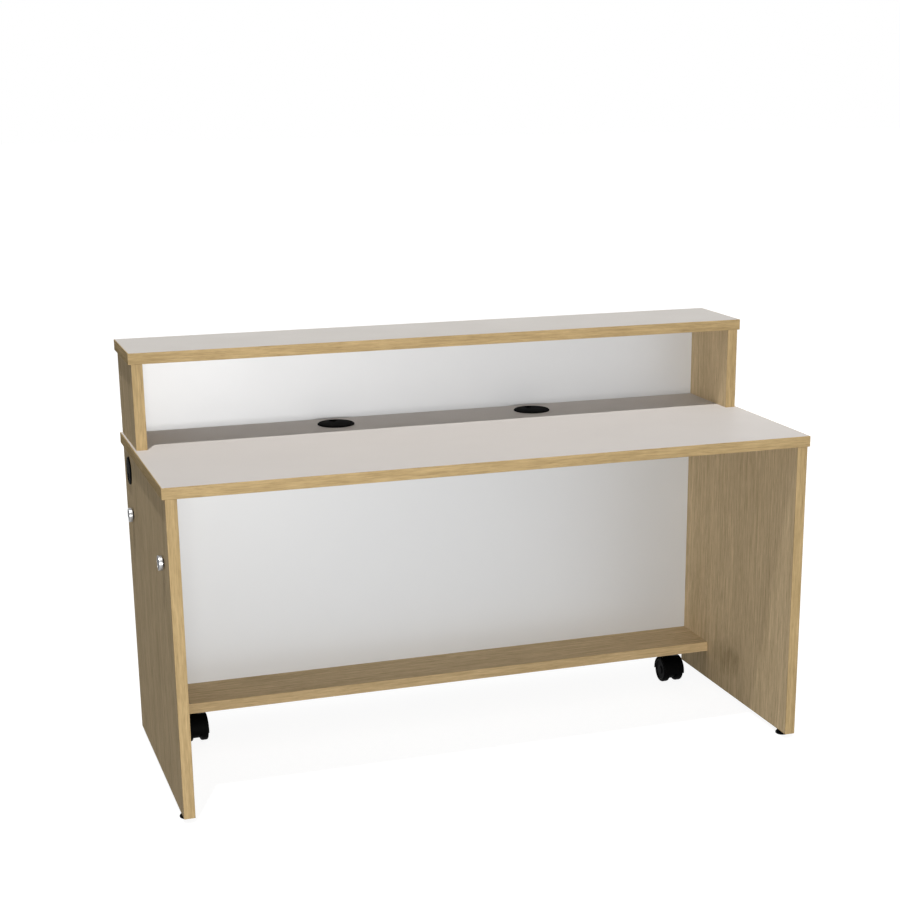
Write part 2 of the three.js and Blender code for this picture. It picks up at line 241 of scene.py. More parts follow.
class Nodes:
    """Adds nodes and links to one node tree."""

    def __init__(self, tree: bpy.types.NodeTree) -> None:
        """Keeps the tree that nodes go into."""
        self.tree = tree

    def add(self, kind: str, inputs: dict | None = None, **settings: object) -> bpy.types.Node:
        """Adds a node, with values or links for its inputs and settings for its properties.

        Args:
            kind: Blender's name of the node type.
            inputs: value or output socket for each named or numbered input.
            settings: properties to set on the node.

        Returns:
            The new node.
        """
        node = self.tree.nodes.new(kind)
        for key, value in settings.items():
            setattr(node, key, value)
        for key, value in (inputs or {}).items():
            if isinstance(value, Socket):
                self.link(value, node.inputs[key])
            else:
                node.inputs[key].default_value = value
        return node

    def link(self, source: Socket, target: Socket) -> None:
        """Links an output to an input."""
        self.tree.links.new(source, target)

    def noise(self, vector: Socket, cells: Triple, detail: float,
              roughness: float = NOISE_ROUGHNESS) -> Socket:
        """Adds noise on a stretched vector.

        Args:
            vector: place on the surface, in metres.
            cells: cells per metre along each axis.
            detail: octaves of the noise.
            roughness: weight of each octave against the one before it.

        Returns:
            The value of the noise, about 0.3 to 0.7.
        """
        scaled = self.vectors("MULTIPLY", vector, cells)
        settings = {"Vector": scaled, "Scale": 1.0, "Detail": detail, "Roughness": roughness}
        return self.add("ShaderNodeTexNoise", settings).outputs["Fac"]

    def spread(self, value: Socket, low: float, high: float, to_low: float = 0.0,
               to_high: float = 1.0) -> Socket:
        """Maps a value from low..high to to_low..to_high, clamped."""
        settings = {"Value": value, "From Min": low, "From Max": high, "To Min": to_low, "To Max": to_high}
        return self.add("ShaderNodeMapRange", settings).outputs["Result"]

    def group(self, tree: bpy.types.NodeTree, inputs: dict) -> bpy.types.Node:
        """Places a shared effect, with a value or a link for each of its inputs."""
        return self.add("ShaderNodeGroup", inputs, node_tree=tree)

    def maths(self, operation: str, a: object, b: object) -> Socket:
        """Adds a sum, product or other operation on two values."""
        return self.add("ShaderNodeMath", {0: a, 1: b}, operation=operation).outputs[0]

    def vectors(self, operation: str, a: object, b: object) -> Socket:
        """Adds a sum, product or other operation on two vectors."""
        return self.add("ShaderNodeVectorMath", {0: a, 1: b}, operation=operation).outputs[0]

    def mix(self, factor: object, a: object, b: object) -> Socket:
        """Mixes two colours by a factor."""
        inputs = {"Factor": factor, 6: a, 7: b}
        return self.add("ShaderNodeMix", inputs, data_type="RGBA").outputs[2]

    def seen_white(self) -> Socket:
        """Tells which rays see white: those from the camera, off gloss and through glass.

        Returns:
            1 for such a ray, and 0 for one that lights the desk.
        """
        path = self.add("ShaderNodeLightPath").outputs
        seen = self.maths("MAXIMUM", path["Is Camera Ray"], path["Is Glossy Ray"])
        return self.maths("MAXIMUM", seen, path["Is Transmission Ray"])


def empty_tree(owner: bpy.types.Material | bpy.types.World) -> Nodes:
    """Gives a material or a world an empty node tree.

    Args:
        owner: the material or the world.

    Returns:
        The nodes of its tree.
    """
    owner.use_nodes = True
    owner.node_tree.nodes.clear()
    return Nodes(owner.node_tree)


def shader_group(name: str, inputs: dict[str, str],
                 outputs: dict[str, str]) -> tuple[Nodes, dict, bpy.types.Node]:
    """Starts a shader node group with named sockets.

    Args:
        name: name of the group.
        inputs: socket type of each input.
        outputs: socket type of each output.

    Returns:
        The node adder, the input sockets by name and the output node.
    """
    tree = bpy.data.node_groups.new(name, "ShaderNodeTree")
    for label, kind in inputs.items():
        tree.interface.new_socket(label, in_out="INPUT", socket_type=kind)
    for label, kind in outputs.items():
        tree.interface.new_socket(label, in_out="OUTPUT", socket_type=kind)
    nodes = Nodes(tree)
    entry = nodes.add("NodeGroupInput")
    leave = nodes.add("NodeGroupOutput")
    return nodes, {label: entry.outputs[label] for label in inputs}, leave


@dataclass(frozen=True)
class GrainLayer:
    """A layer of wood grain: noise in long cells along Z, and its share of the tone. Cells per metre."""

    across: float
    along: float
    detail: float
    share: float
    roughness: float = NOISE_ROUGHNESS
    low: float = NOISE_LOW
    high: float = NOISE_HIGH

    def value(self, nodes: Nodes, vector: Socket) -> Socket:
        """Gives the layer at a place in the wood, from 0 to 1."""
        noise = nodes.noise(vector, (self.across, self.across, self.along), self.detail, self.roughness)
        return nodes.spread(noise, self.low, self.high)


@dataclass(frozen=True)
class OakFigure:
    """The effect of oak with its grain along Z: broad bands, streaks, long fibres and short dark pores."""

    bands: GrainLayer = GrainLayer(24.0, 0.9, detail=3.0, share=0.15)
    streaks: GrainLayer = GrainLayer(160.0, 6.0, detail=4.0, share=0.45, roughness=0.65)
    fibres: GrainLayer = GrainLayer(420.0, 28.0, detail=3.0, share=0.4, roughness=0.6, low=0.28, high=0.72)
    pores: GrainLayer = GrainLayer(1250.0, 42.0, detail=1.0, share=-0.25, low=0.6, high=0.72)
    sway_cells: Triple = (3.0, 3.0, 1.6)
    sway_detail: float = 2.0
    sway_reach: float = 0.03
    fibre_relief: float = 0.5

    def group(self) -> bpy.types.NodeTree:
        """Builds the effect: a slow noise sways the grain, and the shares of the layers add up to the tone.

        Returns:
            The group, with a colour and a height. Its mark darkens the tone where it is above 0.
        """
        nodes, given, leave = shader_group(
            "oak_figure",
            {"Vector": "NodeSocketVector", "Light Tone": "NodeSocketColor", "Dark Tone": "NodeSocketColor",
             "Mark": "NodeSocketFloat"},
            {"Color": "NodeSocketColor", "Height": "NodeSocketFloat"},
        )
        sway = nodes.noise(given["Vector"], self.sway_cells, self.sway_detail)
        offset = nodes.maths("MULTIPLY", nodes.maths("SUBTRACT", sway, NOISE_MIDDLE), self.sway_reach)
        bent = nodes.vectors("ADD", given["Vector"], offset)
        layers = (self.bands, self.streaks, self.fibres, self.pores)
        values = [layer.value(nodes, bent) for layer in layers]
        tone, *others = (nodes.maths("MULTIPLY", value, layer.share) for layer, value in zip(layers, values))
        for share in others:
            tone = nodes.maths("ADD", tone, share)
        marked = nodes.spread(nodes.maths("SUBTRACT", tone, given["Mark"]), 0.0, 1.0)
        nodes.link(nodes.mix(marked, given["Dark Tone"], given["Light Tone"]), leave.inputs["Color"])
        fibres, pores = values[2:]
        height = nodes.maths("SUBTRACT", nodes.maths("MULTIPLY", fibres, self.fibre_relief), pores)
        nodes.link(height, leave.inputs["Height"])
        return nodes.tree


@dataclass(frozen=True)
class DarkPatch:
    """A darker oval round a given place: soft, and uneven at its edge."""

    cells: Triple = (30.0, 30.0, 14.0)
    detail: float = 3.0
    rag: float = 0.4
    core: float = 0.3
    edge: float = 1.2

    def group(self) -> bpy.types.NodeTree:
        """Builds the effect: the distance from the centre over the reach, made uneven, fades the mark.

        Returns:
            The group, with the strength of the mark.
        """
        nodes, given, leave = shader_group(
            "dark_patch",
            {"Vector": "NodeSocketVector", "Centre": "NodeSocketVector", "Reach": "NodeSocketVector",
             "Strength": "NodeSocketFloat"},
            {"Mark": "NodeSocketFloat"},
        )
        away = nodes.vectors("SUBTRACT", given["Vector"], given["Centre"])
        scaled = nodes.vectors("DIVIDE", away, given["Reach"])
        distance = nodes.add("ShaderNodeVectorMath", {0: scaled}, operation="LENGTH").outputs["Value"]
        noise = nodes.noise(given["Vector"], self.cells, self.detail)
        uneven = nodes.spread(noise, NOISE_LOW, NOISE_HIGH, -self.rag, self.rag)
        fade = nodes.spread(nodes.maths("ADD", distance, uneven), self.core, self.edge, 1.0, 0.0)
        nodes.link(nodes.maths("MULTIPLY", fade, given["Strength"]), leave.inputs["Mark"])
        return nodes.tree


@dataclass(frozen=True)
class FineTexture:
    """The effect of pressed laminate and moulded skins: fine specks over a slow cloud."""

    speck_detail: float = 3.0
    speck_low: float = 0.35
    speck_high: float = 0.65
    cloud_cells: Triple = (7.0, 7.0, 7.0)
    cloud_detail: float = 3.0

    def group(self) -> bpy.types.NodeTree:
        """Builds the effect from two noises, one with cells of the speck size and one with broad cells.

        Returns:
            The group, with a speck value and a cloud value.
        """
        nodes, given, leave = shader_group(
            "fine_texture",
            {"Vector": "NodeSocketVector", "Speck Size": "NodeSocketFloat"},
            {"Specks": "NodeSocketFloat", "Cloud": "NodeSocketFloat"},
        )
        cells = nodes.maths("DIVIDE", 1.0, given["Speck Size"])
        settings = {"Vector": given["Vector"], "Scale": cells, "Detail": self.speck_detail}
        fine = nodes.add("ShaderNodeTexNoise", settings).outputs["Fac"]
        nodes.link(nodes.spread(fine, self.speck_low, self.speck_high), leave.inputs["Specks"])
        broad = nodes.noise(given["Vector"], self.cloud_cells, self.cloud_detail)
        nodes.link(nodes.spread(broad, NOISE_LOW, NOISE_HIGH), leave.inputs["Cloud"])
        return nodes.tree


@dataclass(frozen=True)
class Handling:
    """The effect of handling: faint smears and settled dust that roughen a surface in patches."""

    smear_cells: Triple = (9.0, 16.0, 16.0)
    smear_detail: float = 4.0
    smear_roughness: float = 0.65

    def group(self) -> bpy.types.NodeTree:
        """Builds the effect: the given roughness, plus smears from -1 to 1 times the given spread.

        Returns:
            The group, with a roughness that varies about the given one.
        """
        nodes, given, leave = shader_group(
            "handling",
            {"Vector": "NodeSocketVector", "Roughness": "NodeSocketFloat", "Spread": "NodeSocketFloat"},
            {"Roughness": "NodeSocketFloat"},
        )
        noise = nodes.noise(given["Vector"], self.smear_cells, self.smear_detail, self.smear_roughness)
        smears = nodes.spread(noise, NOISE_LOW, NOISE_HIGH, -1.0, 1.0)
        varied = nodes.maths("ADD", given["Roughness"], nodes.maths("MULTIPLY", smears, given["Spread"]))
        nodes.link(varied, leave.inputs["Roughness"])
        return nodes.tree


@dataclass(frozen=True)
class Effects:
    """The shader groups that the finishes share."""

    oak: bpy.types.NodeTree
    mark: bpy.types.NodeTree
    texture: bpy.types.NodeTree
    handling: bpy.types.NodeTree


@dataclass(frozen=True)
class Tones:
    """The light and the dark tone that a finish varies between."""

    light: Triple
    dark: Triple

    def light_colour(self) -> tuple[float, ...]:
        """Gives the light tone as an opaque colour."""
        return (*self.light, 1.0)

    def dark_colour(self) -> tuple[float, ...]:
        """Gives the dark tone as an opaque colour."""
        return (*self.dark, 1.0)


@dataclass(frozen=True)
class Finish:
    """What every finish has: a name, a roughness with its spread, a bump depth in metres, and its tones."""

    name: str
    roughness: float
    spread: float
    bump: float
    tones: Tones

    def material(self, effects: Effects) -> bpy.types.Material:
        """Builds the material: one shader, which the finish dresses.

        Args:
            effects: the shared shader groups.

        Returns:
            The new material.
        """
        material = bpy.data.materials.new(self.name)
        nodes = empty_tree(material)
        shader = nodes.add("ShaderNodeBsdfPrincipled")
        nodes.add("ShaderNodeOutputMaterial", {"Surface": shader.outputs[0]})
        self.dress(nodes, shader, effects)
        return material

    def dress(self, nodes: Nodes, shader: bpy.types.Node, effects: Effects) -> None:
        """Stands for the way that each kind of finish sets the shader's colour and surface."""
        raise NotImplementedError

    def add_surface(self, nodes: Nodes, shader: bpy.types.Node, vector: Socket, height: Socket,
                    effects: Effects) -> None:
        """Gives the shader its varied roughness and its bump.

        Args:
            nodes: nodes of the material.
            shader: the material's shader.
            vector: place on the surface, in metres.
            height: relief of the surface, from 0 to 1.
            effects: the shared shader groups.
        """
        inputs = {"Vector": vector, "Roughness": self.roughness, "Spread": self.spread}
        handled = nodes.group(effects.handling, inputs)
        nodes.link(handled.outputs["Roughness"], shader.inputs["Roughness"])
        relief = {"Height": height, "Strength": BUMP_STRENGTH, "Distance": self.bump}
        bump = nodes.add("ShaderNodeBump", relief)
        nodes.link(bump.outputs["Normal"], shader.inputs["Normal"])


@dataclass(frozen=True)
class OakFinish(Finish):
    """Wood, oak laminate or oak edge band, with the grain along the board or along the band's own length."""

    grain: Grain = Grain.UPRIGHT
    along_band: bool = False
    mark_centre: Triple | None = None
    mark_reach: Triple = (0.012, 0.08, 0.045)
    mark_strength: float = 0.3
    specular: float = 0.02

    def place_in_wood(self, nodes: Nodes) -> Socket:
        """Turns the place on the piece so that the grain lies along Z.

        Args:
            nodes: nodes of the material.

        Returns:
            The place in the wood, in metres.
        """
        if self.along_band:
            flat = nodes.add("ShaderNodeUVMap", uv_map=BAND_UV).outputs["UV"]
            parts = nodes.add("ShaderNodeSeparateXYZ", {0: flat}).outputs
            return nodes.add("ShaderNodeCombineXYZ", {0: parts[1], 2: parts[0]}).outputs[0]
        inputs = {"Vector": nodes.add("ShaderNodeTexCoord").outputs["Object"], "Rotation": self.grain.value}
        return nodes.add("ShaderNodeMapping", inputs).outputs[0]

    def dress(self, nodes: Nodes, shader: bpy.types.Node, effects: Effects) -> None:
        """Colours the shader with the oak figure, and with a darker mark where the finish has one.

        Args:
            nodes: nodes of the material.
            shader: the material's shader.
            effects: the shared shader groups.
        """
        vector = self.place_in_wood(nodes)
        tones = {"Light Tone": self.tones.light_colour(), "Dark Tone": self.tones.dark_colour()}
        oak = nodes.group(effects.oak, {"Vector": vector, **tones})
        if self.mark_centre:
            oval = {"Vector": vector, "Centre": self.mark_centre, "Reach": self.mark_reach,
                    "Strength": self.mark_strength}
            mark = nodes.group(effects.mark, oval)
            nodes.link(mark.outputs["Mark"], oak.inputs["Mark"])
        nodes.link(oak.outputs["Color"], shader.inputs["Base Color"])
        shader.inputs["Specular IOR Level"].default_value = self.specular
        self.add_surface(nodes, shader, vector, oak.outputs["Height"], effects)


@dataclass(frozen=True)
class SpeckledFinish(Finish):
    """A skin of one colour with fine specks: laminate, painted board or moulded plastic."""

    speck: float
    specular: float = 0.5
    coat: float = 0.0
    coat_roughness: float = 0.5
    coat_ior: float = 1.5
    speck_share: float = 0.6
    cloud_share: float = 0.4

    def dress(self, nodes: Nodes, shader: bpy.types.Node, effects: Effects) -> None:
        """Colours the shader with specks and a slow cloud between the two close tones, under a coat.

        Args:
            nodes: nodes of the material.
            shader: the material's shader.
            effects: the shared shader groups.
        """
        vector = nodes.add("ShaderNodeTexCoord").outputs["Object"]
        texture = nodes.group(effects.texture, {"Vector": vector, "Speck Size": self.speck}).outputs
        specks = nodes.maths("MULTIPLY", texture["Specks"], self.speck_share)
        cloud = nodes.maths("MULTIPLY", texture["Cloud"], self.cloud_share)
        blend = nodes.maths("ADD", specks, cloud)
        colour = nodes.mix(blend, self.tones.dark_colour(), self.tones.light_colour())
        nodes.link(colour, shader.inputs["Base Color"])
        shader.inputs["Specular IOR Level"].default_value = self.specular
        shader.inputs["Coat Weight"].default_value = self.coat
        shader.inputs["Coat Roughness"].default_value = self.coat_roughness
        shader.inputs["Coat IOR"].default_value = self.coat_ior
        self.add_surface(nodes, shader, vector, texture["Specks"], effects)


@dataclass(frozen=True)
class MetalFinish(Finish):
    """Bare or plated metal."""

    speck: float = 0.0006

    def dress(self, nodes: Nodes, shader: bpy.types.Node, effects: Effects) -> None:
        """Colours the shader with a faint cloud in the plating.

        Args:
            nodes: nodes of the material.
            shader: the material's shader.
            effects: the shared shader groups.
        """
        vector = nodes.add("ShaderNodeTexCoord").outputs["Object"]
        texture = nodes.group(effects.texture, {"Vector": vector, "Speck Size": self.speck}).outputs
        colour = nodes.mix(texture["Cloud"], self.tones.dark_colour(), self.tones.light_colour())
        nodes.link(colour, shader.inputs["Base Color"])
        shader.inputs["Metallic"].default_value = 1.0
        self.add_surface(nodes, shader, vector, texture["Specks"], effects)


OAK = Tones((0.84, 0.66, 0.416), (0.354, 0.265, 0.15))
BAND = Tones((0.665, 0.487, 0.255), (0.3, 0.208, 0.094))
# A lighter copy of the band tones for the shelf's front band: painted light that makes up for the shade under
# the worktop.
PAINTED_LIGHT_BAND = Tones((0.82, 0.61, 0.345), (0.41, 0.29, 0.14))
BEECH = Tones((0.66, 0.49, 0.30), (0.5, 0.35, 0.2))
GREY = Tones((0.695, 0.655, 0.62), (0.665, 0.625, 0.59))
# A darker copy of the grey laminate for the transaction top: painted shade.
PAINTED_SHADE_GREY = Tones((0.635, 0.602, 0.565), (0.605, 0.572, 0.535))
# WHITE leans a little blue to offset the warm light bounced off the oak: a painted cool cast.
WHITE = Tones((0.672, 0.686, 0.7), (0.652, 0.666, 0.68))
BLACK = Tones((0.003, 0.003, 0.003), (0.0015, 0.0015, 0.0015))
ZINC = Tones((0.62, 0.63, 0.65), (0.54, 0.55, 0.57))
CHROME = Tones((0.48, 0.485, 0.49), (0.44, 0.445, 0.45))
# Dark tones for the knob's foot and end disc: painted shade round the neck and a painted dark reflection on
# the end.
PAINTED_SHADE_AND_REFLECTION = Tones((0.055, 0.057, 0.06), (0.04, 0.042, 0.045))
# Centre of a darker oval low on the right end panel's inner face.
DARK_PATCH_PLACE = (0.73, 0.026, 0.105)


class Finishes:
    """Every material of the desk, made once."""

    def __init__(self) -> None:
        """Builds the shared effects and then each material."""
        effects = Effects(OakFigure().group(), DarkPatch().group(), FineTexture().group(), Handling().group())
        board = {"roughness": 0.75, "spread": 0.06, "bump": 0.00005, "tones": OAK}
        band = {"roughness": 0.7, "spread": 0.06, "bump": 0.00004, "along_band": True}
        laminate = {"roughness": 0.55, "spread": 0.05, "bump": 0.00003, "speck": 0.0012, "specular": 0.04}
        self.oak_upright = OakFinish("oak_upright", **board).material(effects)
        self.oak_dark_patch = OakFinish("oak_dark_patch", **board, mark_centre=DARK_PATCH_PLACE).material(effects)
        self.oak_lengthwise = OakFinish("oak_lengthwise", **board, grain=Grain.LENGTHWISE).material(effects)
        self.oak_band = OakFinish("oak_band", **band, tones=BAND).material(effects)
        # The lighter band copy paints light on the shelf's front band.
        self.oak_band_painted_light = OakFinish("oak_band_painted_light", **band, tones=PAINTED_LIGHT_BAND).material(effects)
        self.grey = SpeckledFinish("grey_laminate", **laminate, tones=GREY).material(effects)
        # The transaction top's laminate is the darker copy, painted shade.
        self.painted_shade_grey = SpeckledFinish(
            "painted_shade_grey_laminate", **laminate, tones=PAINTED_SHADE_GREY,
        ).material(effects)
        self.white = SpeckledFinish(
            "white_panel", roughness=0.46, spread=0.03, bump=0.00001, tones=WHITE, speck=0.002,
            specular=1.0, coat=1.0, coat_roughness=0.46, coat_ior=2.4,
        ).material(effects)
        self.grommet = SpeckledFinish(
            "black_grommet", roughness=0.6, spread=0.06, bump=0.00004, tones=BLACK, speck=0.0007,
            specular=0.01,
        ).material(effects)
        self.nylon = SpeckledFinish(
            "black_nylon", roughness=0.5, spread=0.06, bump=0.00003, tones=BLACK, speck=0.0009,
            specular=0.02,
        ).material(effects)
        self.black_steel = SpeckledFinish(
            "black_steel", roughness=0.45, spread=0.05, bump=0.00002, tones=BLACK, speck=0.0006,
            specular=0.05,
        ).material(effects)
        self.dowel = OakFinish(
            "beech_dowel", roughness=0.7, spread=0.05, bump=0.00004, tones=BEECH,
        ).material(effects)
        self.zinc = MetalFinish(
            "zinc_steel", roughness=0.3, spread=0.06, bump=0.00001, tones=ZINC,
        ).material(effects)
        self.chrome = MetalFinish(
            "chrome", roughness=0.34, spread=0.03, bump=0.000003, tones=CHROME,
        ).material(effects)
        # Dark finish for the knob's foot and end disc: painted shade and a painted dark reflection.
        self.painted_shade_and_reflection = MetalFinish(
            "painted_shade_and_reflection", roughness=0.5, spread=0.05, bump=0.000004, tones=PAINTED_SHADE_AND_REFLECTION,
        ).material(effects)


def dress_node(name: str, material: bpy.types.Material) -> None:
    """Gives a frame node its finish.

    Args:
        name: name of the node.
        material: its finish.
    """
    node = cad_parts[name]
    node.data.materials.clear()
    node.data.materials.append(material)
    LOG.info("%s dressed in %s", name, material.name)


def settle(piece: bpy.types.Object, body: str, slot: str, *nodes: str) -> None:
    """Lets a piece ride on a body and stand for frame nodes.

    Args:
        piece: the new piece.
        body: body that carries it.
        slot: the record's material slot; not used.
        nodes: frame nodes that it replaces.
    """
    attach(piece, body)
    if nodes:
        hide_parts(*nodes)
    LOG.info("%s made, %d faces", piece.name, len(piece.data.polygons))


@dataclass
class Boards:
    """The desk's boards, which keep the frame's shapes and get their finishes."""

    finishes: Finishes

    def dress(self) -> None:
        """Dresses the worktop in grey, the transaction top in a darker copy of that grey that paints shade on
        it, the uprights and the shelf in oak, and the back panels in white.
        """
        dress_node("worktop", self.finishes.grey)
        dress_node("transaction_top", self.finishes.painted_shade_grey)
        dress_node("bottom_shelf", self.finishes.oak_lengthwise)
        dress_node("modesty_panel", self.finishes.white)
        dress_node("riser_back_panel", self.finishes.white)
        dress_node("left_end_panel", self.finishes.oak_upright)
        dress_node("right_end_panel", self.finishes.oak_dark_patch)
        for side in SIDES:
            dress_node(f"{side}_riser_side", self.finishes.oak_upright)
            dress_node(f"{side}_glide_insert", self.finishes.zinc)
        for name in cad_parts:
            if "_dowel_" in name:
                dress_node(name, self.finishes.dowel)


@dataclass
class EdgeBands:
    """The oak strips on the edges of the boards, with their outer arrises eased. Sizes in metres."""

    finishes: Finishes
    thickness: float = 2.0 * MM
    arris: float = 0.9 * MM
    grain_step: float = 0.37
    # Strips that take the lighter copy of the band finish, which is painted light.
    painted_light_bands: tuple[str, ...] = ("bottom_shelf_edge_band",)
    made: int = 0

    def section(self, width: float) -> np.ndarray:
        """Draws the strip's section: out from the board's edge, and across its thickness.

        Args:
            width: thickness of the board.

        Returns:
            (outward, across) of each point, from the strip's outer face, with two rounded corners.
        """
        deep = -self.thickness
        corners = [(deep, 0, 0), (0, 0, self.arris), (0, width, self.arris), (deep, width, 0)]
        return rounded_outline(corners, True)

    def strip(self, name: str, path: np.ndarray, outward: np.ndarray, across: np.ndarray, width: float,
              closed: bool) -> bpy.types.Object:
        """Carries the section along a path with mitred corners.

        A point is its corner of the path, plus its way out times the mitre direction, plus its way across the
        board. Its UV is the run along the path and the run round the section, shifted for each strip.

        Args:
            name: name of the piece.
            path: corners of the strip's outer face.
            outward: mitre direction at each corner, as long as one unit of thickness needs there.
            across: direction over the board's thickness.
            width: thickness of the board.
            closed: whether the strip runs all round.

        Returns:
            The new object.
        """
        section = self.section(width)
        if closed:
            path = np.concatenate([path, path[:1]])
            outward = np.concatenate([outward, outward[:1]])
        out, over = section[:, 0], section[:, 1]
        points = path[:, None] + out[None, :, None] * outward[:, None] + over[None, :, None] * across
        run = np.concatenate([[0.0], np.cumsum(np.linalg.norm(np.diff(path, axis=0), axis=1))])
        around = np.cumsum(np.linalg.norm(np.diff(section, axis=0, prepend=section[:1]), axis=1))
        uv = np.stack(np.broadcast_arrays(run[:, None], around[None]), axis=-1).reshape(-1, 2)
        faces = tube_faces(len(path), len(section), not closed)
        self.made += 1
        shift = np.array([0.0, self.grain_step * self.made])
        # The shelf's band takes the lighter copy, which paints light on it.
        material = self.finishes.oak_band_painted_light if name in self.painted_light_bands else self.finishes.oak_band
        return mesh_piece(f"{name}_strip", points.reshape(-1, 3), faces, material, uv + shift)

    def around_top(self, node: str) -> None:
        """Wraps a top's four edges in one mitred strip.

        Args:
            node: the strip's frame node.
        """
        low, high = (np.array(corner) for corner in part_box(node))
        outward = np.array([(-1, -1, 0), (1, -1, 0), (1, 1, 0), (-1, 1, 0)], float)
        path = np.where(outward > 0, high, low)
        made = self.strip(node, path, outward, UPWARDS, high[2] - low[2], True)
        settle(made, "desk", "oak_band", node)

    def around_end(self, node: str) -> None:
        """Wraps an end panel's front, foot and rear in one strip that is open at the top.

        Args:
            node: the strip's frame node.
        """
        low, high = (np.array(corner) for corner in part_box(node))
        x, front, foot = low
        _, rear, top = high
        path = np.array([(x, front, top), (x, front, foot), (x, rear, foot), (x, rear, top)])
        outward = np.array([(0, -1, 0), (0, -1, -1), (0, 1, -1), (0, 1, 0)], float)
        made = self.strip(node, path, outward, SIDEWAYS, high[0] - low[0], False)
        settle(made, "desk", "oak_band", node)

    def straight(self, node: str, towards: float) -> None:
        """Lays one straight strip on a front or rear edge.

        Args:
            node: the strip's frame node.
            towards: -1 for a strip that faces the front, 1 for one that faces the rear.
        """
        low, high = (np.array(corner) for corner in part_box(node))
        y = low[1] if towards < 0 else high[1]
        size = high - low
        level = size[0] > size[2]
        end = (high[0], y, low[2]) if level else (low[0], y, high[2])
        path = np.array([(low[0], y, low[2]), end])
        outward = np.array([(0, towards, 0)] * 2, float)
        across, width = (UPWARDS, size[2]) if level else (SIDEWAYS, size[0])
        made = self.strip(node, path, outward, across, width, False)
        settle(made, "desk", "oak_band", node)

    def build(self) -> None:
        """Makes every strip."""
        self.around_top("worktop_edge_band")
        self.around_top("transaction_top_edge_band")
        self.straight("bottom_shelf_edge_band", -1.0)
        for side in SIDES:
            self.around_end(f"{side}_end_panel_edge_band")
            self.straight(f"{side}_riser_side_front_band", -1.0)
            self.straight(f"{side}_riser_side_rear_band", 1.0)


